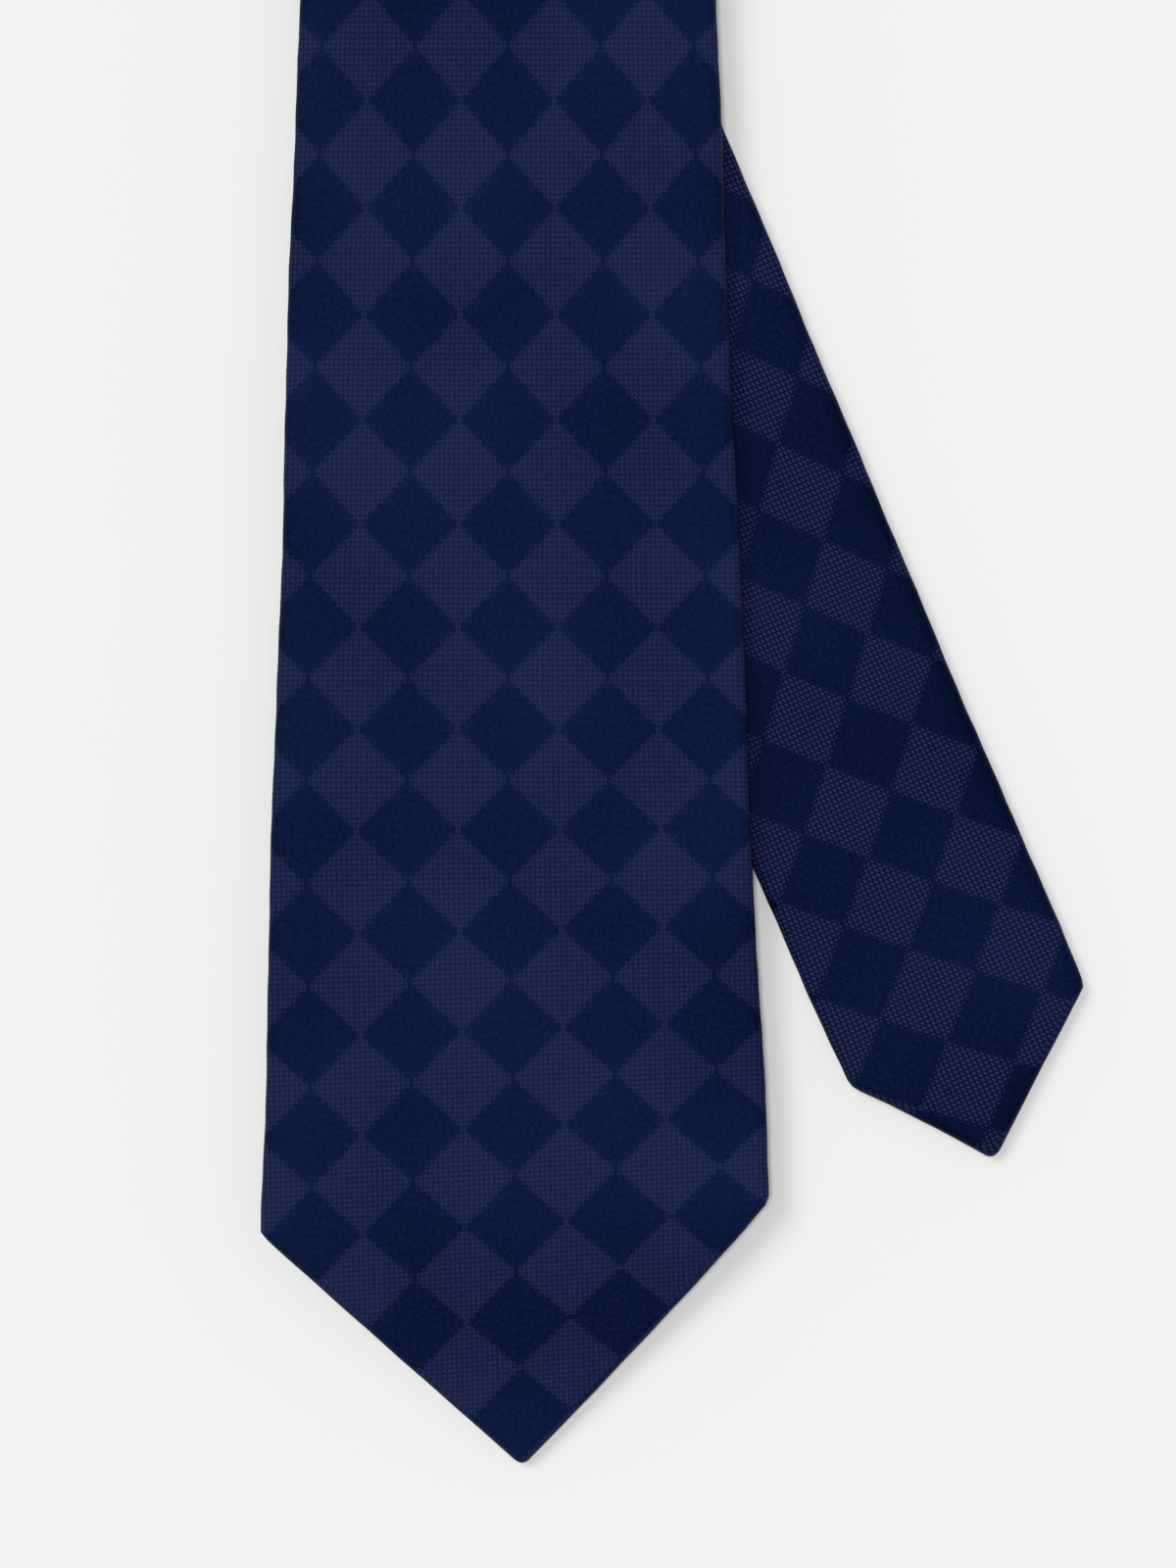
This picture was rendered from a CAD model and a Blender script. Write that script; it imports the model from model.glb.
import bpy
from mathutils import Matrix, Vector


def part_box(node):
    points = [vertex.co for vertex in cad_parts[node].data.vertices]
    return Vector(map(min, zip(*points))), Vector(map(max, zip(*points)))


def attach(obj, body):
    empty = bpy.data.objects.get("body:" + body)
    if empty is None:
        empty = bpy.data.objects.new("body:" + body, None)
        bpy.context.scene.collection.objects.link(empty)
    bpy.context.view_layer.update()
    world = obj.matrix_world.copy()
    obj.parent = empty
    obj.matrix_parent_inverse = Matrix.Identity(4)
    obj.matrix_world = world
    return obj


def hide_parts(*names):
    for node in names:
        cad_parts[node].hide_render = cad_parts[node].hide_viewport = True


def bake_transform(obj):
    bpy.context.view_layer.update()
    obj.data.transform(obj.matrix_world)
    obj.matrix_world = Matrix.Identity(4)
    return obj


bl_info = {
    "name": "Necktie",
    "version": (1, 0, 0),
    "blender": (4, 5, 0),
    "location": "View3D > Sidebar > Necktie",
    "description": "Sews a bias-cut silk necktie round its packed frame",
    "category": "Add Mesh",
}

import math

import bpy
import numpy as np
from bpy.props import FloatProperty, FloatVectorProperty, PointerProperty
from mathutils import Vector

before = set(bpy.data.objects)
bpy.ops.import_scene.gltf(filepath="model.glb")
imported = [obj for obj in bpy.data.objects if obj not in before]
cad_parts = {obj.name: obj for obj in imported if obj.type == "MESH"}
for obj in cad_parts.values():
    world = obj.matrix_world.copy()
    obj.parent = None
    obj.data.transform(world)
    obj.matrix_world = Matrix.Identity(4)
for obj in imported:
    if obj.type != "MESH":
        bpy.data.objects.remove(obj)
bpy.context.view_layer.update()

# Distances in the tables below are millimetres on the flat tie: u runs along it from the blade's tip,
# v across it (positive to the right of the blade) and h out of its face. make_mesh turns them to metres.
MM = 0.001

# Layers of the tie, from its middle
CLOTH = 0.4
HALF = 1.6
CORE = (-0.2, 0.8)
LINING = (-0.8, -0.5)
LAYER_INSET = 1.9

# Blade and tail, as cut
BLADE_CORNERS = (36.5, 41.7)
BLADE_TIP_SHIFT = 1.7
BLADE_TAPER = 620
BLADE_HEM = 8
BLADE_APEX = 125
TAIL_POINT = 19
TAIL_TIP_SHIFT = 3.6
TAIL_PARALLEL = 230
TAIL_TAPER = 520
TAIL_HEM = 6
TAIL_APEX = 75
BLADE_BLUNT = 0.6
TAIL_BLUNT = 0.7
TIP_ROUND = 0.5
TIPPING_PAST_APEX = 22
TACK_BELOW_APEX = 6

# How pressing has moved the finished edges: the blade's point to the right, its upper part to the left, the
# point's edges out, left and right; the tail's cloth fuller, more on its outer edge, and hollow at its point
DRAWN_RIGHT = 0.7
ASIDE_LEFT = 0.5
POINT_BOW = (0.2, 0.55)
TAIL_FULLER = 0.5
TAIL_FULLER_OUTSIDE = 0.9
TAIL_HOLLOW = 0.4

# Stitches and gaps
TACK_PINCH = 0.35
TACK_REACH = 2.9
TACK_THREADS = 0.28
CORE_SHORT = (7, 5)
CORE_GAP = 0.7
# A pressed seam is a fine groove: the panels' ends stop just short of it.
GROOVE = 0.12

# Keeper loop: its cloth, its turned-out ends, and how its corners are rounded and lifted
KEEPER_CLOTH = 0.8
KEEPER_EAR = 4.0
KEEPER_CORNER = 3.4
KEEPER_LIFT = 0.9

# Labels, in from the hinge and from the tail's tip, and the stitches beside the maker's label
LABEL_TO_HINGE = 18
LABEL_DEPTH = HALF + 0.35
CARE_WIDTH = 14.0
CARE_LENGTH = 18
CARE_TO_TIP = 40
CARE_DEPTH = 1.2
LABEL_STITCH = 2.4
LABEL_STITCH_INSET = 1.6

# The loop it is laid in
KEEPER_U = 234.2
KEEPER_TO_FOLD = 410
TAIL_PAST_KEEPER = 200.7
FOLD_RADIUS = 2.8
TABLE_LEVEL = HALF
FOLD_LEVEL = TABLE_LEVEL + 2 * FOLD_RADIUS
TAIL_LEVEL = 2.7
BLADE_LEVEL = 6.4
PARTED = 124
SETTLE = 65
KEEPER_SETTLE = 38
CREASE_REACH = 22
SWIVEL_FLAT = 21.4
SEAM_TO_FOLD = 54.2
TAIL_SEAM_PAST_FOLD = 100
SHEAR_EASE = 150
HINGE_TO_KEEPER = 40

# How the check lies on each end, drawn out of square when the bias cloth was folded and pressed. Each value
# changes evenly between two distances from the tip: across and along are the squares' pitches, middle is the
# line midway between two columns of light squares, climb is how far a row leans for each millimetre across.
# first_row is the distance of the first whole row of light squares from the tip.
BLADE_CHECK = {
    "across": ((100, 16.0), (234, 14.5)),
    "along": ((0, 14.8), (234, 17.2)),
    "middle": ((0, 1.0), (110, -0.8)),
    "climb": ((0, 0.1), (110, 0.0)),
    "first_row": 14.9,
}
TAIL_CHECK = {
    "across": ((15, 16.7), (90, 14.4)),
    "along": ((0, 15.0), (150, 17.5)),
    "middle": ((0, -6.5), (160, -1.5)),
    "climb": ((70, -0.05), (95, 0.0)),
    "first_row": 12.6,
}
CHECK = 15.6
CLOTH_MAP = "cloth"

# A wave texture of scale 1 has a diagonal line about every 0.32 of a unit.
WAVES = 0.32


def smooth(t):
    """An easy rise from 0 to 1 as t goes from 0 to 1, level outside them."""
    t = np.clip(t, 0, 1)
    return t * t * (3 - 2 * t)


def read(table, u, column=1, ease=lambda t: t):
    """A table's column at u, with straight or eased lines between its rows."""
    at = np.array([row[0] for row in table], float)
    value = np.array([row[column] for row in table], float)
    i = np.clip(np.searchsorted(at, u, side="right") - 1, 0, len(at) - 2)
    t = np.clip((u - at[i]) / (at[i + 1] - at[i]), 0, 1)
    return value[i] + (value[i + 1] - value[i]) * ease(t)


def softened(table, u, reach):
    """The same with its corners rounded over reach to each side."""
    offsets = np.linspace(-1, 1, 9)
    weights = 1 - offsets**2 * 0.9
    total = sum(w * read(table, u + reach * k) for w, k in zip(weights, offsets))
    return total / weights.sum()


def unit(x, y):
    size = math.hypot(x, y)
    return np.array([x / size, y / size])


class Crease:
    """A fold line of the flat tie, halfway between the directions it comes in and leaves in."""

    def __init__(self, run, away):
        self.along = unit(*(run + away))
        self.across = unit(*(run - away))
        steep = run @ self.across
        self.sideways = math.pi * FOLD_RADIUS * (run @ self.along) / steep
        self.span = math.pi * FOLD_RADIUS / steep
        self.at = np.zeros(2)

    def split(self, plan):
        offset = plan - self.at
        return offset @ self.across, offset @ self.along

    def join(self, across, along):
        across, along = across[..., None], along[..., None]
        return self.at + across * self.across + along * self.along


class Tie:
    """The flat tie's outlines, and how it lies in its loop."""

    def __init__(self, sizes):
        self.angle = sizes.tail_angle
        widths = [sizes.blade_width / MM, sizes.neck_width / MM, sizes.tail_width / MM]
        self.blade_width, self.neck_width, self.tail_width = widths
        self.lap = sizes.back_lap / MM
        up, left = np.array([0.0, 1.0]), np.array([-1.0, 0.0])
        down = np.array([math.sin(self.angle), -math.cos(self.angle)])
        self.first, self.second = Crease(up, left), Crease(left, down)
        self.first.at = np.array([0.0, KEEPER_TO_FOLD])
        start = self.first.at + self.first.along * self.first.sideways
        above = start[1] + self.second.along[1] * self.second.sideways
        self.tail_above = above / math.cos(self.angle)
        leave = -down * self.tail_above - self.second.along * self.second.sideways
        self.second.at = np.array([leave[0], start[1]])
        self.fold_1 = KEEPER_U + KEEPER_TO_FOLD
        self.fold_1_end = self.fold_1 + self.first.span
        self.fold_2 = self.fold_1_end + start[0] - self.second.at[0]
        self.fold_2_end = self.fold_2 + self.second.span
        self.tail_keeper = self.fold_2_end + self.tail_above
        self.length = self.tail_keeper + TAIL_PAST_KEEPER
        self.blade_seam = self.fold_1 - SEAM_TO_FOLD
        self.tail_seam = self.fold_2_end + TAIL_SEAM_PAST_FOLD
        self.hinge = KEEPER_U - HINGE_TO_KEEPER
        self.tacks = BLADE_APEX - TACK_BELOW_APEX, self.length - TAIL_APEX + TACK_BELOW_APEX
        self.levels = self.level_rows()
        self.shears = self.shear_rows()
        self.sides = {side: self.side_rows(side) for side in (-1, 1)}

    def level_rows(self):
        swing = self.tail_keeper
        return [
            (0, TABLE_LEVEL),
            (BLADE_CORNERS[1], BLADE_LEVEL),
            (KEEPER_U + PARTED, BLADE_LEVEL),
            (KEEPER_U + PARTED + SETTLE, TABLE_LEVEL),
            (self.fold_1 - CREASE_REACH - SETTLE, TABLE_LEVEL),
            (self.fold_1 - CREASE_REACH, FOLD_LEVEL),
            (self.fold_2_end + CREASE_REACH, FOLD_LEVEL),
            (self.fold_2_end + CREASE_REACH + SETTLE, TABLE_LEVEL),
            (swing - SWIVEL_FLAT - KEEPER_SETTLE, TABLE_LEVEL),
            (swing - SWIVEL_FLAT, TAIL_LEVEL),
            (swing + SWIVEL_FLAT, TAIL_LEVEL),
            (swing + SWIVEL_FLAT + KEEPER_SETTLE, TABLE_LEVEL),
        ]

    def shear_rows(self):
        first, second = self.first, self.second
        back = 2 * (second.along @ first.across)
        flat = second.along - back * first.across
        slant_1, slant_2 = first.along[1] / first.along[0], flat[1] / flat[0]
        return [
            (self.blade_seam - SHEAR_EASE, 0),
            (self.blade_seam, slant_1),
            (self.fold_1_end + 4, slant_1),
            (self.fold_2 - 4, slant_2),
            (self.tail_seam, slant_2),
            (self.tail_seam + SHEAR_EASE, 0),
        ]

    def end_rows(self, side, tip, blunt, corner, half, hem, apex):
        slope = (side * half - tip) / corner
        inset = hem * math.hypot(1, slope)
        edge = [(0, tip + side * blunt), (corner, side * half)]
        flap = [
            (0, tip + side * 0.1),
            (inset / abs(slope), tip + side * 0.1),
            (corner, side * (half - inset)),
            (apex, -side * self.lap / 2),
        ]
        return edge, flap

    def side_rows(self, side):
        blade_edge, blade_flap = self.end_rows(
            side, BLADE_TIP_SHIFT, BLADE_BLUNT, BLADE_CORNERS[side > 0],
            self.blade_width / 2, BLADE_HEM, BLADE_APEX,
        )
        tail_edge, tail_flap = self.end_rows(
            side, TAIL_TIP_SHIFT, TAIL_BLUNT, TAIL_POINT, self.tail_width / 2, TAIL_HEM, TAIL_APEX
        )
        turned = [[(self.length - t, v) for t, v in reversed(rows)] for rows in (tail_edge, tail_flap)]
        narrow = [
            (BLADE_TAPER, side * self.neck_width / 2),
            (self.length - TAIL_TAPER, side * self.neck_width / 2),
            (self.length - TAIL_PARALLEL, side * self.tail_width / 2),
        ]
        return blade_edge + narrow + turned[0], blade_flap + turned[1]

    def from_tip(self, u):
        return np.minimum(u, self.length - u)

    def edge(self, side, u):
        """A side's edge with its pressed corners, rounded tips and small hand-pressed waves."""
        tip = np.where(u < self.length / 2, BLADE_TIP_SHIFT, TAIL_TIP_SHIFT)
        reach = np.where(u < self.length / 2, 0.5, 1.9 if side > 0 else 0.6)
        reach = np.minimum(reach, self.from_tip(u) * 0.6)
        plain = softened(self.sides[side][0], u, reach)
        waves = 0.05 * np.sin(u / 4.7 + side) + 0.07 * np.sin(u / 11.3 + 2 * side)
        waves = waves + 0.04 * np.sin(u / 1.3 + 5 * side)
        drawn = DRAWN_RIGHT * smooth((95 - u) / 45) * np.clip(u / 36, 0, 1)
        aside = ASIDE_LEFT * smooth((u - 130) / 60) * smooth((310 - u) / 60)
        plain = plain + drawn - aside
        fuller = TAIL_FULLER * smooth((self.length - u - 8) / 30)
        fuller = fuller + TAIL_FULLER_OUTSIDE * smooth((self.length - u - 70) / 90) * (side < 0)
        plain = plain + side * fuller * smooth((u - self.tail_keeper) / 20)
        hollow = TAIL_HOLLOW * np.sin(math.pi * np.clip((self.length - u) / TAIL_POINT, 0, 1)) * (side > 0)
        bow = POINT_BOW[side > 0] * np.sin(math.pi * np.clip(u / BLADE_CORNERS[side > 0], 0, 1))
        plain = plain - hollow + side * bow
        plain = plain + side * waves * smooth(self.from_tip(u) / 14)
        near = np.clip(self.from_tip(u) / TIP_ROUND, 0, 1)
        return tip + (plain - tip) * np.sqrt(1 - (1 - near) ** 2)

    def slant(self, side, u):
        """How steeply a side's edge leans, as its cloth was folded."""
        step = 0.5
        before, after = (softened(self.sides[side][0], u + k, 1.5) for k in (-step, step))
        return np.clip((after - before) / (2 * step), -1.3, 1.3)

    def flap(self, side, u):
        """The free edge of a side's back flap."""
        return softened(self.sides[side][1], u, np.minimum(4.0, self.from_tip(u) * 0.5))

    def shear(self, u):
        return read(self.shears, u)

    def ripple(self, x, y):
        """Soft rise and fall of pressed cloth, upwards only, so that it never sinks in the table."""
        swell = np.sin(x / 9.5 + y / 23 + 0.8) * np.sin(y / 17.5 - x / 31)
        return 0.16 * (1 + swell) * smooth((abs(y) - 6) / 12)

    def lay(self, u, v, h, station=None):
        """World points in millimetres of flat-tie points. Points of one station share their leg's height."""
        station = u if station is None else station
        u, v, h, station = np.broadcast_arrays(*(np.asarray(x, float) for x in (u, v, h, station)))
        half_turn = math.pi * FOLD_RADIUS
        level = read(self.levels, station, ease=smooth)
        radius = FOLD_RADIUS + h
        flat = np.stack([v, u - KEEPER_U], -1)
        across, along = self.first.split(flat)
        turn = np.clip(across, 0, half_turn) / FOLD_RADIUS
        roll_1 = self.first.join(radius * np.sin(turn), along)
        high_1 = FOLD_LEVEL - FOLD_RADIUS + radius * np.cos(turn)
        neck = self.first.join(half_turn - across, along)
        across_2, along_2 = self.second.split(neck)
        turn = np.clip(across_2, 0, half_turn) / FOLD_RADIUS
        roll_2 = self.second.join(radius * np.sin(turn), along_2)
        high_2 = TABLE_LEVEL + FOLD_RADIUS - radius * np.cos(turn)
        tail = self.second.join(half_turn - across_2, along_2)
        which = [across <= 0, across < half_turn, across_2 <= 0, across_2 < half_turn]
        plan = np.select([w[..., None] for w in which], [flat, roll_1, neck, roll_2], tail)
        high = np.select(which, [level + h, high_1, TABLE_LEVEL - h, high_2], level + h)
        high = high + self.ripple(plan[..., 0], plan[..., 1])
        return np.concatenate([plan, high[..., None]], -1)

    def woven(self, check, t, v):
        """Where a point t from the tip and v across was on the loom: across and along, in squares."""
        steps = np.arange(-60, 1600, 0.5)
        rate = 1 / read(check["along"], steps)
        rows = np.concatenate([[0], np.cumsum((rate[1:] + rate[:-1]) / 2) * (steps[1] - steps[0])])
        rows -= np.interp(check["first_row"], steps, rows)
        columns = (v - read(check["middle"], t)) / read(check["across"], t) + 0.5
        return columns, np.interp(t - read(check["climb"], t) * v, steps, rows)

    def pull(self, u, v):
        """Where a point of the tie was on the loom, in millimetres across and along."""
        blade = self.woven(BLADE_CHECK, u, v)
        tail = self.woven(TAIL_CHECK, self.length - u, v)
        on_tail = u > self.tail_seam
        return CHECK * np.where(on_tail, tail[0], blade[0]), CHECK * np.where(on_tail, -tail[1], blade[1])


def stations(start, end, spacing):
    """Distances from start to end, as far apart as spacing(u) says."""
    kept = [start]
    while kept[-1] < end:
        kept.append(kept[-1] + spacing(kept[-1]))
    return np.array(kept[:-1] + [end]) if kept[-2] < end - 0.2 * spacing(end) else np.array(kept[:-2] + [end])


def make_mesh(name, points, faces, maps, material):
    """An object of these points, in millimetres, with its cloth map, smooth but for its real edges."""
    mesh = bpy.data.meshes.new(name)
    mesh.from_pydata((np.asarray(points) * MM).tolist(), [], faces)
    layer = mesh.uv_layers.new(name=CLOTH_MAP)
    corners = np.empty(len(mesh.loops), np.int32)
    mesh.loops.foreach_get("vertex_index", corners)
    layer.data.foreach_set("uv", (np.asarray(maps)[corners] * MM).astype(np.float32).ravel())
    mesh.polygons.foreach_set("use_smooth", [True] * len(mesh.polygons))
    mesh.set_sharp_from_angle(angle=math.radians(55))
    mesh.materials.append(material)
    piece = bpy.data.objects.new(name, mesh)
    bpy.context.scene.collection.objects.link(piece)
    return piece


def volume(points, faces):
    a, b, c = (points[[f[i] for f in faces]] for i in (0, 1, 2))
    d = points[[f[-1] for f in faces]]
    return (np.einsum("ij,ij->i", a, np.cross(b, c)) + np.einsum("ij,ij->i", a, np.cross(c, d))).sum()


def sleeve(name, front, back, front_map, back_map, material):
    """A closed sheet: front and back are rows of points, joined along their two free edges and two ends."""
    rows, columns = front.shape[:2]
    points = np.concatenate([front, back[:, ::-1]], 1).reshape(-1, 3)
    maps = np.concatenate([front_map, back_map[:, ::-1]], 1).reshape(-1, 2)
    ring = 2 * columns
    at = np.arange(rows * ring).reshape(rows, ring)
    turned = np.roll(at, -1, 1)
    skin = np.stack([at[:-1], turned[:-1], turned[1:], at[1:]], -1).reshape(-1, 4)
    ends = []
    for row, order in ((at[0], -1), (at[-1], 1)):
        top, under = row[:columns], row[columns:][::-1]
        cap = np.stack([top[:-1], top[1:], under[1:], under[:-1]], -1)
        ends.append(cap[:, ::order])
    faces = np.concatenate([skin, *ends])
    if volume(points, faces.tolist()) < 0:
        faces = faces[:, ::-1]
    return make_mesh(name, points, faces.tolist(), maps, material)


def tube(path, radius, sides=6):
    """Points, faces and map of a thread along a path in world millimetres, with closed ends."""
    path = np.asarray(path, float)
    run = np.gradient(path, axis=0)
    run /= np.maximum(np.linalg.norm(run, axis=1, keepdims=True), 1e-9)
    side = np.cross(run, [0.31, 0.17, 0.93])
    side /= np.maximum(np.linalg.norm(side, axis=1, keepdims=True), 1e-9)
    over = np.cross(side, run)
    turn = np.linspace(0, 2 * math.pi, sides, endpoint=False)
    thin = np.ones(len(path))
    thin[0] = thin[-1] = 0.35
    ring = np.cos(turn)[None, :, None] * side[:, None] + np.sin(turn)[None, :, None] * over[:, None]
    points = (path[:, None] + radius * thin[:, None, None] * ring).reshape(-1, 3)
    far = np.concatenate([[0], np.cumsum(np.linalg.norm(np.diff(path, axis=0), axis=1))])
    maps = np.stack(np.broadcast_arrays(turn[None] * radius, far[:, None]), -1).reshape(-1, 2)
    faces = []
    for i in range(len(path) - 1):
        for j in range(sides):
            k = (j + 1) % sides
            faces.append((i * sides + j, i * sides + k, (i + 1) * sides + k, (i + 1) * sides + j))
    faces.append(tuple(range(sides))[::-1])
    faces.append(tuple((len(path) - 1) * sides + j for j in range(sides)))
    return points, faces, maps


def threads(name, paths, radius, material, sides=6):
    """One piece of several threads."""
    points, faces, maps, count = [], [], [], 0
    for path in paths:
        p, f, m = tube(path, radius, sides)
        points.append(p)
        maps.append(m)
        faces += [tuple(i + count for i in face) for face in f]
        count += len(p)
    return make_mesh(name, np.concatenate(points), faces, np.concatenate(maps), material)


FLAP_POINTS, ROLL_POINTS, FACE_POINTS = 25, 11, 45


def silk_section(tie, u, seams):
    """Outer and inner points of the silk at stations u, with how far each lies across the unfolded cloth."""
    left, right = tie.edge(-1, u)[:, None], tie.edge(1, u)[:, None]
    near = np.clip(tie.from_tip(u) / 2.4, 0, 1)[:, None]
    half = HALF * (0.25 + 0.75 * np.sqrt(1 - (1 - near) ** 2))
    for seam in seams:
        off = np.clip(abs(u - seam) / 1.1, 0, 1)[:, None]
        half = half * (0.72 + 0.28 * np.sqrt(1 - (1 - off) ** 2))
    half = np.minimum(half, 0.45 * (right - left))
    cloth = np.minimum(CLOTH, 0.4 * half)
    roll = np.minimum(half * 1.15, 0.49 * (right - left))
    right_roll, left_roll = right - roll, left + roll
    right_flap = np.minimum(tie.flap(1, u)[:, None], right_roll - 0.05)
    left_flap = np.maximum(tie.flap(-1, u)[:, None], left_roll + 0.05)
    lapped = smooth((left_flap - right_flap) / 2)
    pinch = TACK_PINCH * sum(np.exp(-(((u - tack) / 2.6) ** 2)) for tack in tie.tacks)[:, None]
    flat = np.linspace(0, 1, FLAP_POINTS)[None]
    bend = np.linspace(-math.pi / 2, math.pi / 2, ROLL_POINTS)[None, 1:-1]
    face = np.linspace(0, 1, FACE_POINTS)[None]
    drop = 0.2 * half / HALF
    slants = [tie.slant(side, u)[:, None] for side in (-1, 1)]
    parts = []

    def run_on(v, h, across, along, out_v, out_h):
        parts.append(np.stack(np.broadcast_arrays(v, h, across, along, out_v, out_h), -1))

    def turned(v, roll_at, arc, side):
        """Where cloth folded over a slanting edge was before it was folded: across, and how far along."""
        slant = slants[side > 0]
        square = 1 + slant**2
        out = 2 * (roll_at - v) / square + side * arc / np.sqrt(square)
        return v + out, -out * slant

    v = right_flap + (right_roll - right_flap) * flat
    folded = pinch * np.exp(-((v / 4.5) ** 2)) - 0.04 * np.exp(-(((v - right_flap) / 0.8) ** 2))
    run_on(v, -half + folded, *turned(v, right_roll, math.pi * half, 1), 0, -1)
    upper = half - drop * (bend > 0)
    run_on(
        right_roll + roll * np.cos(bend), upper * np.sin(bend),
        *turned(right_roll, right_roll, half * (math.pi / 2 - bend), 1), np.cos(bend), np.sin(bend),
    )
    v = right_roll + (left_roll - right_roll) * face
    edge = np.minimum(v - left_roll, right_roll - v)
    run_on(v, half - drop * np.exp(-edge / 2.6), v, 0, 0, 1)
    upper = half - drop * (bend < 0)
    run_on(
        left_roll - roll * np.cos(bend), -upper * np.sin(bend),
        *turned(left_roll, left_roll, half * (math.pi / 2 + bend), -1), -np.cos(bend), -np.sin(bend),
    )
    v = left_roll + (left_flap - left_roll) * flat
    under = (CLOTH + 0.08) * lapped * smooth((v - right_flap + 1.8) / 1.6)
    under = under + pinch * np.exp(-((v / 4.5) ** 2))
    run_on(v, -half + under, *turned(v, left_roll, math.pi * half, -1), 0, -1)
    whole = np.concatenate(parts, 1)
    outer = whole[..., :2]
    inner = outer - cloth[..., None] * whole[..., 4:]
    return outer, inner, whole[..., 2], whole[..., 3]


def silk_panel(tie, name, start, end, spacing, seams, material):
    """A panel of the envelope from one end or seam to the next."""
    u = stations(start, end, spacing)
    outer, inner, across, along = silk_section(tie, u, seams)
    u, shear = u[:, None], tie.shear(u)[:, None]
    sheets, maps = [], []
    for sheet in (outer, inner):
        v, h = sheet[..., 0], sheet[..., 1]
        sheets.append(tie.lay(u + shear * v, v, h, u))
        maps.append(np.stack(tie.pull(u + shear * v + along, across), -1))
    piece = sleeve(name, *sheets, *maps, material)
    widths = across.max(1) - across.min(1)
    flat = float(widths.max()) * MM, float(end - start) * MM
    return piece, flat, float(np.trapz(widths, u[:, 0])) * MM * MM


def layer(tie, name, start, end, spacing, low, high, material, pucker=0.0):
    """A flat layer inside the silk, a little narrower than the tie."""
    u = stations(start, end, spacing)
    left = tie.edge(-1, u)[:, None] + LAYER_INSET
    right = tie.edge(1, u)[:, None] - LAYER_INSET
    near = np.clip(np.minimum(u - start, end - u) / 3, 0, 1)[:, None]
    middle, half = (left + right) / 2, np.maximum((right - left) / 2, 0.4)
    half = half * (0.3 + 0.7 * np.sqrt(1 - (1 - near) ** 2))
    across = np.linspace(-1, 1, 31)[None]
    v = middle + half * across
    thick = (high - low) * np.sqrt(np.clip(1 - np.abs(across) ** 14, 0.1, 1))
    centre = (low + high) / 2 + pucker * np.sin(u[:, None] / 3.1) * np.abs(across) ** 3
    shear, u = tie.shear(u)[:, None], u[:, None]
    front = tie.lay(u + shear * v, v, centre + thick / 2, u)
    back = tie.lay(u + shear * v, v, centre - thick / 2, u)
    flat_map = np.stack(np.broadcast_arrays(v, u), -1)
    piece = sleeve(name, front, back, flat_map, flat_map, material)
    flat = float((2 * half).max()) * MM, float(end - start) * MM
    return piece, flat, float(np.trapz((2 * half)[:, 0], u[:, 0])) * MM * MM


# Materials, and the nodes that they use most

MATH, MIX, NOISE = "Math", "Mix", "TexNoise"
TIMES, PLUS, MINUS = {"operation": "MULTIPLY"}, {"operation": "ADD"}, {"operation": "SUBTRACT"}
TIMES_PLUS = {"operation": "MULTIPLY_ADD"}
COLOURS = {"data_type": "RGBA"}


def linear(hexed):
    """An sRGB hex colour, such as 2A3B5C, as linear RGBA."""
    parts = [int(hexed[i : i + 2], 16) / 255 for i in (0, 2, 4)]
    return (*[p / 12.92 if p <= 0.04045 else ((p + 0.055) / 1.055) ** 2.4 for p in parts], 1.0)


def add(tree, kind, settings=None, links=None):
    """Adds a node with its settings, its inputs linked to sockets or set to values, and gives its outputs."""
    node = tree.nodes.new("ShaderNode" + kind)
    for key, value in (settings or {}).items():
        setattr(node, key, value)
    for key, value in (links or {}).items():
        if isinstance(value, bpy.types.NodeSocket):
            tree.links.new(value, node.inputs[key])
        else:
            node.inputs[key].default_value = value
    return node.outputs


def new_material(name, woven=True):
    """A material with an empty tree, the tree, and its cloth map's coordinates, or else the object's."""
    material = bpy.data.materials.new(name)
    material.use_nodes = True
    tree = material.node_tree
    tree.nodes.clear()
    if woven:
        return material, tree, add(tree, "UVMap", {"uv_map": CLOTH_MAP})["UV"]
    return material, tree, add(tree, "TexCoord")["Object"]


def surface(tree, tint, height, strength, depth, finish):
    """Ends a material: its colour, a relief of this depth in metres, and how its fibres take the light."""
    relief = {"Strength": strength, "Distance": depth, "Height": height}
    normal = add(tree, "Bump", {}, relief)[0]
    shader = add(tree, "BsdfPrincipled", {}, {"Base Color": tint, "Normal": normal, **finish})
    add(tree, "OutputMaterial", {}, {0: shader[0]})


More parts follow.
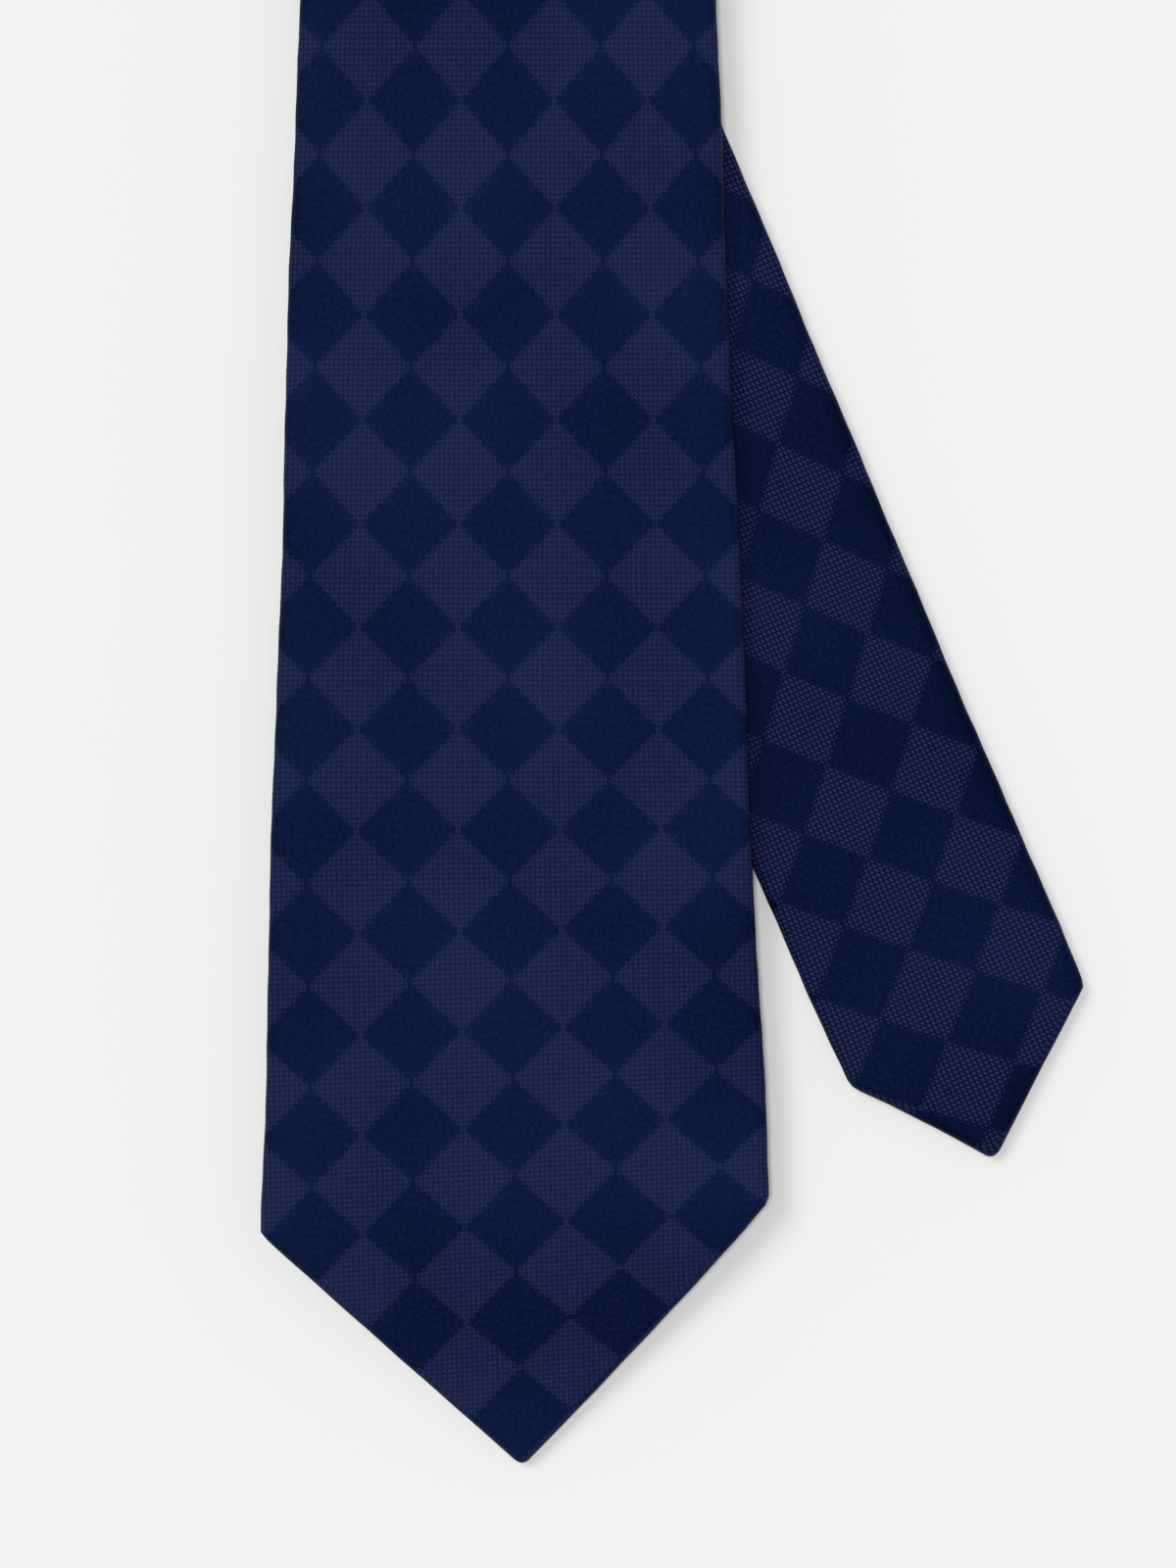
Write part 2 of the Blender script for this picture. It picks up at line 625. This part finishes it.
def jacquard_silk(name, colours, sizes, contrast, level, ground_level):
    """Silk jacquard woven on a dyed navy warp: satin squares that stay dark and smooth, and hopsack squares
    whose crossing yarns break the light into small dashes. Cut on the bias, so both lie at 45 degrees."""
    material, tree, cloth = new_material(name)
    bias = (0, 0, math.radians(45))
    # The loom steps the squares' sides by whole yarns, which on the bias is a yarn's diagonal at a time.
    step = [sizes.yarn_pitch * math.sqrt(2)] * 3
    stepped = add(tree, "VectorMath", {"operation": "SNAP"}, {0: cloth, 1: step})[0]
    squares = {"Vector": stepped, "Rotation": bias, "Scale": [math.sqrt(2) / sizes.check_pitch] * 3}
    turned = add(tree, "Mapping", {}, {**squares, "Location": (0.5, 0.5, 1.5)})[0]
    check = add(tree, "TexChecker", {}, {"Vector": turned, "Scale": 1.0})["Fac"]
    # Plain crossings of warp and weft, 0.55 mm apart, which is the real spacing and just wide enough to show.
    close = {"Vector": cloth, "Rotation": bias, "Scale": [math.pi / sizes.yarn_pitch] * 3}
    yarns = add(tree, "Mapping", {}, close)[0]
    apart = add(tree, "SeparateXYZ", {}, {0: yarns})
    warp = add(tree, MATH, {"operation": "COSINE"}, {0: apart["X"]})[0]
    weft = add(tree, MATH, {"operation": "COSINE"}, {0: apart["Y"]})[0]
    crossing = add(tree, MATH, TIMES, {0: warp, 1: weft})[0]
    cords = add(tree, MATH, TIMES, {0: weft, 1: weft})[0]
    ribs = add(tree, MATH, TIMES_PLUS, {0: cords, 1: 0.9, 2: -0.45})[0]
    floats = add(tree, MATH, PLUS, {0: crossing, 1: ribs})[0]
    # Uneven yarn: slubs under a millimetre long, and the soft clouding of a piece-dyed cloth, 40 mm across.
    slub = add(tree, NOISE, {}, {"Vector": cloth, "Scale": 1500.0, "Detail": 2.0})["Fac"]
    cloud = add(tree, NOISE, {}, {"Vector": cloth, "Scale": 26.0, "Detail": 1.5})["Fac"]
    uneven = add(tree, MATH, MINUS, {0: slub, 1: 0.5})[0]
    clouded = add(tree, MATH, MINUS, {0: cloud, 1: 0.5})[0]
    soft = add(tree, MATH, TIMES, {0: clouded, 1: 0.5})[0]
    grain = add(tree, MATH, TIMES_PLUS, {0: uneven, 1: 0.55, 2: soft})[0]
    dash = add(tree, MATH, TIMES_PLUS, {0: floats, 1: contrast, 2: level})[0]
    lit = add(tree, MATH, PLUS, {0: dash, 1: grain})[0]
    # Satin floats lie so close that only their direction shows, as faint cords broken up by the grain.
    faint = {0: cords, 1: 0.22, 2: ground_level - 0.11}
    cord = add(tree, MATH, TIMES_PLUS, faint)[0]
    mottle = add(tree, MATH, TIMES_PLUS, {0: grain, 1: 2.2, 2: cord})[0]
    satin = {0: mottle, 6: (*colours.satin_low, 1), 7: (*colours.satin_high, 1)}
    ground = add(tree, MIX, COLOURS, satin)[2]
    hopsack = {0: lit, 6: (*colours.hopsack_low, 1), 7: (*colours.hopsack_high, 1)}
    figure = add(tree, MIX, COLOURS, hopsack)[2]
    tint = add(tree, MIX, COLOURS, {0: check, 6: ground, 7: figure})[2]
    relief = add(tree, MATH, TIMES, {0: floats, 1: check})[0]
    height = add(tree, MATH, TIMES_PLUS, {0: slub, 1: 0.5, 2: relief})[0]
    rough = add(tree, MATH, TIMES_PLUS, {0: check, 1: 0.08, 2: 0.55})[0]
    surface(tree, tint, height, 0.5, 0.00005, {
        "Roughness": rough, "IOR": 1.5, "Specular IOR Level": 0.1, "Specular Tint": linear("5A80E6"),
        "Sheen Weight": 0.02, "Sheen Roughness": 0.4, "Sheen Tint": linear("5A78D0"),
    })
    return material


def woven_lining(name, low, high, pitch, roughness):
    """Woven acetate lining: a close twill that shines softly along its diagonal lines."""
    material, tree, cloth = new_material(name)
    twill = {"Vector": cloth, "Scale": WAVES / pitch, "Distortion": 0.4, "Detail": 1.0, "Detail Scale": 2.0}
    wave = add(tree, "TexWave", {"bands_direction": "DIAGONAL"}, twill)["Fac"]
    cloud = add(tree, NOISE, {}, {"Vector": cloth, "Scale": 60.0})["Fac"]
    lines = add(tree, MATH, TIMES, {0: wave, 1: 0.5})[0]
    mixed = add(tree, MATH, TIMES_PLUS, {0: cloud, 1: 0.5, 2: lines})[0]
    tint = add(tree, MIX, COLOURS, {0: mixed, 6: (*low, 1), 7: (*high, 1)})[2]
    surface(tree, tint, wave, 0.4, 0.00004, {"Roughness": roughness, "Specular IOR Level": 0.12})
    return material


def brushed_wool(name, low, high):
    """Brushed wool interlining: undyed, matt, with a short raised nap and a few darker fibres."""
    material, tree, cloth = new_material(name)
    nap = add(tree, NOISE, {}, {"Vector": cloth, "Scale": 1400.0, "Detail": 3.0})["Fac"]
    loose = {"Vector": cloth, "Scale": 260.0, "Distortion": 9.0, "Detail": 3.0, "Detail Scale": 1.6}
    strands = add(tree, "TexWave", {}, loose)["Fac"]
    darker = add(tree, MATH, TIMES, {0: strands, 1: 0.4})[0]
    mixed = add(tree, MATH, TIMES_PLUS, {0: nap, 1: 0.6, 2: darker})[0]
    tint = add(tree, MIX, COLOURS, {0: mixed, 6: (*low, 1), 7: (*high, 1)})[2]
    matt = {"Roughness": 0.95, "Specular IOR Level": 0.2, "Sheen Weight": 0.3}
    surface(tree, tint, mixed, 0.7, 0.0002, matt)
    return material


def spun_thread(name, low, high, twist):
    """Two-ply silk sewing thread: fine slanting ply lines that catch the light one by one."""
    material, tree, cloth = new_material(name)
    # Real ply lines are 0.3 mm apart; these are twice that, to show at all.
    lines = {"Vector": cloth, "Scale": WAVES / twist}
    plies = add(tree, "TexWave", {"bands_direction": "DIAGONAL"}, lines)["Fac"]
    tint = add(tree, MIX, COLOURS, {0: plies, 6: (*low, 1), 7: (*high, 1)})[2]
    surface(tree, tint, plies, 0.6, 0.0001, {"Roughness": 0.5, "Sheen Weight": 0.2})
    return material


def damask_label(name, ground, line, width, length):
    """Damask label in close polyester satin, blank, with a woven line 2.2 mm inside its edges."""
    material, tree, cloth = new_material(name)
    apart = add(tree, "SeparateXYZ", {}, {0: cloth})
    inside = []
    for axis, size in (("X", width), ("Y", length)):
        out = add(tree, MATH, {"operation": "ABSOLUTE"}, {0: apart[axis]})[0]
        inside.append(add(tree, MATH, MINUS, {0: size / 2, 1: out})[0])
    off = add(tree, MATH, {"operation": "MINIMUM"}, {0: inside[0], 1: inside[1]})[0]
    border = add(tree, MATH, {"operation": "COMPARE"}, {0: off, 1: 0.0022, 2: 0.0003})[0]
    satin = {"Vector": cloth, "Scale": 800.0}
    weave = add(tree, "TexWave", {"bands_direction": "Y"}, satin)["Fac"]
    faint = add(tree, MATH, TIMES, {0: weave, 1: 0.25})[0]
    base = add(tree, MIX, COLOURS, {0: faint, 6: (*ground, 1), 7: (*line, 1)})[2]
    tint = add(tree, MIX, COLOURS, {0: border, 6: base, 7: (*line, 1)})[2]
    height = add(tree, MATH, PLUS, {0: weave, 1: border})[0]
    surface(tree, tint, height, 0.5, 0.00005, {"Roughness": 0.45, "Specular IOR Level": 0.12})
    return material


def matt_paper(name, paper):
    """Matt seamless background paper: pale and even, with a trace of tooth."""
    material, tree, spot = new_material(name, woven=False)
    tooth = add(tree, NOISE, {}, {"Vector": spot, "Scale": 900.0})["Fac"]
    surface(tree, (*paper, 1), tooth, 0.05, 0.0001, {"Roughness": 1.0, "Specular IOR Level": 0.0})
    return material


def once(name, make, *given):
    """A material made the first time it is asked for."""
    return bpy.data.materials.get(name) or make(name, *given)


def blade_silk():
    scene = bpy.context.scene
    given = scene.necktie_colours, scene.necktie_sizes
    return once("Jacquard silk, blade", jacquard_silk, *given, 0.3, 0.44, 0.45)


def tail_silk():
    """The same cloth, turned to the light so that its hopsack squares sparkle more."""
    scene = bpy.context.scene
    given = scene.necktie_colours, scene.necktie_sizes
    return once("Jacquard silk, tail", jacquard_silk, *given, 0.75, 0.3, 0.16)


def sewing_thread():
    c = bpy.context.scene.necktie_colours
    return once("Spun silk thread", spun_thread, c.thread_low, c.thread_high, 0.0006)


def size_property(name, description, default):
    return FloatProperty(
        name=name, description=description, default=default, min=0.0, precision=5, unit="LENGTH"
    )


def colour_property(name, description, hexed):
    return FloatVectorProperty(
        name=name, description=description, default=linear(hexed)[:3], size=3, min=0.0, max=1.0,
        subtype="COLOR",
    )


class NecktieSizes(bpy.types.PropertyGroup):
    """Sizes of the tie that can be changed"""

    blade_width: size_property("Blade width", "Across the corners of the wide end", 0.080)
    neck_width: size_property("Neck width", "Across the narrow middle that goes round the neck", 0.036)
    tail_width: size_property("Tail width", "Across the narrow end", 0.040)
    back_lap: size_property("Back lap", "How far one back flap laps over the other", 0.0044)
    check_pitch: size_property("Check pitch", "From one dark square to the next, across the tie", CHECK * MM)
    yarn_pitch: size_property("Yarn pitch", "From one yarn to the next", 0.00055)
    stitch_pitch: size_property("Slip stitch pitch", "From one slip stitch to the next", 0.009)
    thread_width: size_property("Thread thickness", "Across the sewing thread", 0.0004)
    label_width: size_property("Label width", "Maker's label, across the tie", 0.052)
    label_length: size_property("Label length", "Maker's label, along the tie", 0.026)
    tail_angle: FloatProperty(
        name="Tail angle", description="How far the tail lies out from the blade's centre line",
        default=math.radians(23.36), subtype="ANGLE",
    )


class NecktieColours(bpy.types.PropertyGroup):
    """Colours of the tie that can be changed"""

    satin_low: colour_property("Satin, in shade", "Darkest of the smooth squares", "01071A")
    satin_high: colour_property("Satin, in light", "Lightest of the smooth squares", "0D1A3A")
    hopsack_low: colour_property("Hopsack, between yarns", "Darkest of the textured squares", "060B1E")
    hopsack_high: colour_property("Hopsack, on the yarns", "Lightest of the textured squares", "232C52")
    lining_low: colour_property("Lining, in shade", "Darkest of the tipping", "0B1430")
    lining_high: colour_property("Lining, in light", "Lightest of the tipping", "1A2750")
    wool_low: colour_property("Wool, in shade", "Darkest of the interlining", "B3AA96")
    wool_high: colour_property("Wool, in light", "Lightest of the interlining", "E2DBCB")
    thread_low: colour_property("Thread, between plies", "Darkest of the thread", "131F42")
    thread_high: colour_property("Thread, on the plies", "Lightest of the thread", "33457D")
    label_ground: colour_property("Label ground", "Ground of both labels", "161F3E")
    label_line: colour_property("Label line", "Woven line inside the label's edges", "8E9BC4")
    paper: colour_property("Background paper", "The floor", "DADADA")


def along_blade(u):
    """How far apart the stations of the blade panel stand."""
    if u < 3:
        return 0.12 + 0.25 * u
    if 160 < u < 215:
        return 1.6
    return 1.4 if u < 48 or 112 < u < 128 else 3.0


def round_folds(tie):
    """How far apart the stations of the neck panel stand."""

    def spacing(u):
        folds = ((tie.fold_1, tie.fold_1_end), (tie.fold_2, tie.fold_2_end))
        if any(a - 1 < u < b + 1 for a, b in folds):
            return 0.7
        seams = (tie.blade_seam, tie.tail_seam)
        return 0.3 if any(abs(u - seam) < 1.5 for seam in seams) else 3.0

    return spacing


def along_tail(tie):
    """How far apart the stations of the tail panel stand."""

    def spacing(u):
        t = tie.length - u
        if t < 3:
            return 0.14 + 0.22 * max(t, 0)
        return 1.2 if t < 24 or 66 < t < 78 else 1.8 if abs(u - tie.tail_keeper) < 45 else 3.0

    return spacing


def stand_in(piece, slot, *nodes, body=None):
    """Says which nodes a piece stands for and its slot, and the body it rides on if no joint bends it."""
    if body:
        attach(piece, body)
    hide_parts(*nodes)


def hinge_blend(piece):
    """Lets a piece bend where the blade lifts."""
    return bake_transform(piece)


def swivel_blend(tie, piece):
    """Lets a piece bend sideways in the keeper, where the tail swings."""
    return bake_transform(piece)


def bend_part(tie, piece):
    """Joins a length of silk, core or stitching to the bodies that its part of the tie lies on."""
    if "blade" in piece.name:
        hinge_blend(piece)
    elif "tail" in piece.name:
        swivel_blend(tie, piece)
    else:
        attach(piece, "neck_loop")


class NECKTIE_OT_silk(bpy.types.Operator):
    """Cut and fold the three silk panels"""

    bl_idname = "necktie.silk"
    bl_label = "Silk envelope"

    def execute(self, context):
        tie = Tie(context.scene.necktie_sizes)
        first, second = tie.blade_seam, tie.tail_seam
        rows = [
            ("silk_blade_panel", 0.02, first - GROOVE, along_blade, [first], blade_silk(),
             ("blade_shell", "blade_shell_upper"), "wool_core_blade"),
            ("silk_neck_panel", first + GROOVE, second - GROOVE, round_folds(tie), [first, second],
             blade_silk(), ("neck_shell",), "wool_core_neck"),
            ("silk_tail_panel", second + GROOVE, tie.length - 0.02, along_tail(tie), [second], tail_silk(),
             ("tail_shell", "tail_shell_upper"), "wool_core_tail"),
        ]
        for name, start, end, spacing, seams, silk, nodes, core in rows:
            piece, flat, area = silk_panel(tie, name, start, end, spacing, seams, silk)
            bend_part(tie, piece)
            stand_in(piece, "silk", *nodes)
        return {"FINISHED"}


class NECKTIE_OT_core(bpy.types.Operator):
    """Lay the brushed wool interlining, the whole length of the tie"""

    bl_idname = "necktie.core"
    bl_label = "Wool interlining"

    def execute(self, context):
        colours, tie = context.scene.necktie_colours, Tie(context.scene.necktie_sizes)
        wool = once("Brushed wool", brushed_wool, colours.wool_low, colours.wool_high)
        first, second = tie.blade_seam, tie.tail_seam
        rows = [
            ("wool_core_blade", CORE_SHORT[0], first - CORE_GAP,
             ("blade_interlining", "blade_interlining_upper")),
            ("wool_core_neck", first + CORE_GAP, second - CORE_GAP, ("neck_interlining",)),
            ("wool_core_tail", second + CORE_GAP, tie.length - CORE_SHORT[1],
             ("tail_interlining", "tail_interlining_upper")),
        ]
        for name, start, end, nodes in rows:
            piece, flat, area = layer(tie, name, start, end, round_folds(tie), *CORE, wool)
            bend_part(tie, piece)
            stand_in(piece, "interlining", *nodes)
        return {"FINISHED"}


class NECKTIE_OT_tipping(bpy.types.Operator):
    """Sew the lining behind both ends"""

    bl_idname = "necktie.tipping"
    bl_label = "Tipping"

    def execute(self, context):
        colours, tie = context.scene.necktie_colours, Tie(context.scene.necktie_sizes)
        given = colours.lining_low, colours.lining_high, 0.0006, 0.42
        lining = once("Acetate twill lining", woven_lining, *given)
        rows = [
            ("tipping_blade", CORE_SHORT[0], BLADE_APEX + TIPPING_PAST_APEX, "blade_tipping", "blade_end"),
            ("tipping_tail", tie.length - TAIL_APEX - TIPPING_PAST_APEX, tie.length - CORE_SHORT[1],
             "tail_tipping", "tail_end"),
        ]
        for name, start, end, node, body in rows:
            piece, flat, area = layer(tie, name, start, end, lambda u: 1.6, *LINING, lining, pucker=0.06)
            stand_in(piece, "tipping", node, body=body)
        return {"FINISHED"}


def slip_path(tie, start, end, pitch):
    """The slip-stitching thread: hidden in the fold of the upper flap, with a small stitch over its edge."""
    u = np.arange(start, end, pitch / 30)
    cycle = ((u - start) / pitch) % 1
    out = smooth(np.minimum(cycle - 0.55, 0.95 - cycle) / 0.08)
    swing = smooth((cycle - 0.62) / 0.2) - smooth((cycle - 0.9) / 0.1)
    v = -tie.lap / 2 + 0.8 - 1.4 * swing
    h = -1.22 - 0.34 * out
    return tie.lay(u, v, h, u)


def tack_paths(tie, middle):
    """A bar tack: threads side by side over both flaps, bound by others across them."""
    paths = []
    t = np.linspace(-1, 1, 15)
    for i in range(7):
        u = middle + (i - 3) * TACK_THREADS
        reach = TACK_REACH + 0.2 * math.sin(i * 2.4)
        h = -1.36 + 0.3 * np.clip((np.abs(t) - 0.82) / 0.18, 0, 1) ** 2
        paths.append(tie.lay(u + 0.08 * np.sin(3 * t + i), reach * t, h))
    for v in (-1.9, -1.2, -0.5, 0.2, 0.9, 1.6):
        h = -1.44 + 0.4 * np.abs(t) ** 6
        paths.append(tie.lay(middle + 1.15 * t, v + 0.25 * t, h))
    return paths


def seam_path(tie, seam):
    """The thread that joins two panels, glimpsed in the groove between them as short stitches."""
    reach = tie.neck_width / 2 - HALF
    v = np.linspace(-reach, reach, 180)
    h = HALF - 0.62 + 0.14 * np.cos(2 * math.pi * v / 2.4)
    at = np.full_like(v, seam)
    return tie.lay(at + tie.shear(at) * v, v, h, at)


class NECKTIE_OT_stitching(bpy.types.Operator):
    """Sew the back closed, tack both openings and join the panels"""

    bl_idname = "necktie.stitching"
    bl_label = "Stitching"

    def execute(self, context):
        sizes = context.scene.necktie_sizes
        tie, thread = Tie(sizes), sewing_thread()
        radius, pitch = sizes.thread_width / MM / 2, sizes.stitch_pitch / MM
        first, second = tie.blade_seam, tie.tail_seam
        rows = [
            ("slip_stitch_blade", BLADE_APEX, first, ("blade_slip_stitch", "blade_slip_stitch_upper")),
            ("slip_stitch_neck", first, second, ("neck_slip_stitch",)),
            ("slip_stitch_tail", second, tie.length - TAIL_APEX,
             ("tail_slip_stitch", "tail_slip_stitch_upper")),
        ]
        for name, start, end, nodes in rows:
            piece = threads(name, [slip_path(tie, start + 1, end - 1, pitch)], radius * 0.8, thread)
            bend_part(tie, piece)
            stand_in(piece, "thread", *nodes)
        blade_tack, tail_tack = tie.tacks
        rows = [
            ("bar_tack_blade", tack_paths(tie, blade_tack), 0.8, "blade_bar_tack", "blade_end"),
            ("bar_tack_tail", tack_paths(tie, tail_tack), 0.8, "tail_bar_tack", "tail_end"),
            ("seam_blade_neck", [seam_path(tie, first)], 0.6, "blade_neck_seam", "neck_loop"),
            ("seam_neck_tail", [seam_path(tie, second)], 0.6, "neck_tail_seam", "neck_loop"),
        ]
        for name, paths, share, node, body in rows:
            stand_in(threads(name, paths, radius * share, thread), "thread", node, body=body)
        return {"FINISHED"}


class NECKTIE_OT_keeper(bpy.types.Operator):
    """Sew the keeper loop behind the blade and tack its ends"""

    bl_idname = "necktie.keeper"
    bl_label = "Keeper loop"

    def execute(self, context):
        thread = context.scene.necktie_sizes.thread_width / MM
        low, high = (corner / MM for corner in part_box("keeper_loop"))
        bottom, top = low.z + KEEPER_CLOTH / 2, high.z - KEEPER_CLOTH / 2
        reach, wall = high.x, high.x - KEEPER_EAR - KEEPER_CLOTH / 2
        right = [
            (0, bottom - 0.05), (wall - KEEPER_CORNER, bottom), (wall - 0.2, bottom + KEEPER_LIFT),
            (wall, top), (reach, top),
        ]
        corners = [(-x, z) for x, z in right[:0:-1]] + right
        run = np.concatenate([[0], np.cumsum(np.linalg.norm(np.diff(corners, axis=0), axis=1))])
        fine = np.linspace(0, run[-1], 161)
        path = np.stack([softened(list(zip(run, [c[i] for c in corners])), fine, 0.9) for i in (0, 1)], -1)
        path[[0, -1]] = corners[0], corners[-1]
        heading = np.gradient(path, axis=0)
        heading /= np.linalg.norm(heading, axis=1, keepdims=True)
        normal = np.stack([-heading[:, 1], heading[:, 0]], -1)
        across = np.linspace(-1, 1, 15)
        half = (high.y - low.y) / 2
        thick = KEEPER_CLOTH / 2 * np.sqrt(np.clip(1 - np.abs(across) ** 10, 0.12, 1))
        sheets = []
        for sign in (1, -1):
            spot = path[:, None] + sign * thick[None, :, None] * normal[:, None]
            y = np.broadcast_to(across * half * 0.99, spot.shape[:2])
            sheets.append(np.stack([spot[..., 0], y, spot[..., 1]], -1))
        flat = np.stack(np.broadcast_arrays(across[None] * half, fine[:, None]), -1)
        band = sleeve("keeper_band", sheets[0], sheets[1], flat, flat, blade_silk())
        stand_in(band, "silk", "keeper_loop", body="neck_loop")
        t = np.linspace(0, 1, 11)
        for name in ("keeper_tack_left", "keeper_tack_right"):
            low, high = (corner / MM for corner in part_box(name))
            x = low.x + (high.x - low.x) * t
            z = high.z - 0.12 - 0.22 * np.sin(math.pi * t)
            rows = enumerate(np.linspace(low.y + 0.7, high.y - 0.7, 6))
            paths = [np.stack([x, y + 0.5 * (-1) ** i * (t - 0.5), z], -1) for i, y in rows]
            piece = threads(name + "_stitches", paths, thread * 0.42, sewing_thread())
            stand_in(piece, "thread", name, body="neck_loop")
        return {"FINISHED"}


def label_mesh(tie, name, start, long, width, h, material, bow):
    """A woven label with its ends folded under, a little bowed between its stitches."""
    u = np.linspace(start, start + long, 27)[:, None]
    across = np.linspace(-1, 1, 53)[None]
    v = width / 2 * across
    lift = bow * (1 - across**2) * np.sin(math.pi * (u - start) / long)
    near = np.clip((1 - np.abs(across)) * width, 0, 1)
    thick = 0.11 + 0.04 * near
    front = tie.lay(u, v, h - lift + thick, u)
    back = tie.lay(u, v, h - lift - thick, u)
    flat = np.stack(np.broadcast_arrays(v, u - (start + long / 2)), -1)
    return sleeve(name, front, back, flat, flat, material)


class NECKTIE_OT_labels(bpy.types.Operator):
    """Sew on the two blank labels"""

    bl_idname = "necktie.labels"
    bl_label = "Labels"

    def execute(self, context):
        sizes, colours = context.scene.necktie_sizes, context.scene.necktie_colours
        tie, thread = Tie(sizes), sizes.thread_width / MM
        width, long = sizes.label_width / MM, sizes.label_length / MM
        end = tie.hinge - LABEL_TO_HINGE

        def sew_on(name, woven, start, run, wide, depth, bow, body, node):
            given = colours.label_ground, colours.label_line, wide * MM, run * MM
            damask = once(woven, damask_label, *given)
            label = label_mesh(tie, name, start, run, wide, -depth, damask, bow)
            stand_in(label, "label", node, body=body)

        sew_on(
            "label_maker", "Damask label", end - long, long, width, LABEL_DEPTH, 0.25, "blade_end",
            "maker_label",
        )
        t = np.linspace(0, 1, 9)
        for name, node, side in (
            ("label_stitches_left", "label_stitch_left", -1),
            ("label_stitches_right", "label_stitch_right", 1),
        ):
            v = side * (width / 2 - LABEL_STITCH_INSET)
            starts = np.arange(end - long + 1.4, end - 2, LABEL_STITCH)
            h = -2.06 - 0.2 * np.sin(math.pi * t)
            paths = [tie.lay(u + 1.7 * t, v + 0.15 * np.sin(u), h) for u in starts]
            piece = threads(name, paths, thread * 0.36, sewing_thread())
            stand_in(piece, "thread", node, body="blade_end")
        sew_on(
            "label_care", "Damask care label", tie.length - CARE_TO_TIP, CARE_LENGTH, CARE_WIDTH, CARE_DEPTH,
            0.04, "tail_end", "care_label",
        )
        return {"FINISHED"}


# The studio's pale walls near the floor and farther up, and its lamps: power, apparent size in degrees, and
# where each shines from. The softbox lights evenly; the key throws the soft shadow down to the right.
WALL_LOW, WALL_HIGH = 0.88, 0.3
STUDIO_LIGHTS = [
    ("Overhead softbox", 2.05, 12, (-0.06, 0.04, 1.0)),
    ("Key light", 1.15, 26, (-0.54, 0.38, 0.95)),
]

# The camera looks straight down on the ends of the tie: what it is over, the height of its view and at what
# level, in metres.
VIEW_MIDDLE = (0.01215, -0.1269)
VIEW_HEIGHT = 0.24615
VIEW_LEVEL = 0.008
PAPER_RADIUS = 12


class NECKTIE_OT_stage(bpy.types.Operator):
    """Lay the background paper and set up the soft light and the camera"""

    bl_idname = "necktie.stage"
    bl_label = "Stage"

    def execute(self, context):
        colours = context.scene.necktie_colours
        mesh = bpy.data.meshes.new("background_paper")
        turn = np.linspace(0, 2 * math.pi, 96, endpoint=False)
        rim = [(PAPER_RADIUS * math.cos(a), PAPER_RADIUS * math.sin(a), -0.0003) for a in turn]
        mesh.from_pydata(rim, [], [tuple(range(96))])
        mesh.materials.append(matt_paper("Matt background paper", colours.paper))
        paper = bpy.data.objects.new("background_paper", mesh)
        context.scene.collection.objects.link(paper)
        world = bpy.data.worlds.new("Soft studio")
        world.use_nodes = True
        backdrop = world.node_tree.nodes["Background"]
        backdrop.inputs[1].default_value = 1.0
        spot = add(world.node_tree, "TexCoord")["Generated"]
        up = add(world.node_tree, "SeparateXYZ", {}, {0: spot})["Z"]
        walls = add(
            world.node_tree, "MapRange", {"interpolation_type": "SMOOTHSTEP"},
            {0: up, 1: 0.05, 2: 0.3, 3: WALL_LOW, 4: WALL_HIGH},
        )[0]
        world.node_tree.links.new(walls, backdrop.inputs[0])
        context.scene.world = world
        for name, power, wide, direction in STUDIO_LIGHTS:
            sun = bpy.data.lights.new(name, "SUN")
            sun.energy, sun.angle = power, math.radians(wide)
            lamp = bpy.data.objects.new(name, sun)
            lamp.rotation_euler = Vector(direction).to_track_quat("Z", "Y").to_euler()
            context.scene.collection.objects.link(lamp)
        lens = bpy.data.cameras.new("Camera")
        lens.lens, lens.sensor_width = 135, 36
        camera = bpy.data.objects.new("Camera", lens)
        camera.location = (*VIEW_MIDDLE, VIEW_LEVEL + VIEW_HEIGHT * lens.lens / lens.sensor_width)
        context.scene.collection.objects.link(camera)
        context.scene.camera = camera
        context.scene.view_settings.view_transform = "Standard"
        return {"FINISHED"}


class NECKTIE_PT_panel(bpy.types.Panel):
    """Sizes, colours and pieces of the tie"""

    bl_idname = "NECKTIE_PT_panel"
    bl_label = "Necktie"
    bl_space_type = "VIEW_3D"
    bl_region_type = "UI"
    bl_category = "Necktie"

    def draw(self, context):
        for group in (context.scene.necktie_sizes, context.scene.necktie_colours):
            box = self.layout.box()
            for key in group.__annotations__:
                box.prop(group, key)
        for operator in OPERATORS:
            self.layout.operator(operator.bl_idname)


OPERATORS = [
    NECKTIE_OT_stage,
    NECKTIE_OT_silk,
    NECKTIE_OT_core,
    NECKTIE_OT_tipping,
    NECKTIE_OT_stitching,
    NECKTIE_OT_keeper,
    NECKTIE_OT_labels,
]
CLASSES = [NecktieSizes, NecktieColours, *OPERATORS, NECKTIE_PT_panel]


def register():
    for one in CLASSES:
        bpy.utils.register_class(one)
    bpy.types.Scene.necktie_sizes = PointerProperty(type=NecktieSizes)
    bpy.types.Scene.necktie_colours = PointerProperty(type=NecktieColours)


def unregister():
    del bpy.types.Scene.necktie_colours
    del bpy.types.Scene.necktie_sizes
    for one in reversed(CLASSES):
        bpy.utils.unregister_class(one)


def main():
    register()
    for operator in OPERATORS:
        group, name = operator.bl_idname.split(".")
        getattr(getattr(bpy.ops, group), name)()


if __name__ == "__main__":
    main()
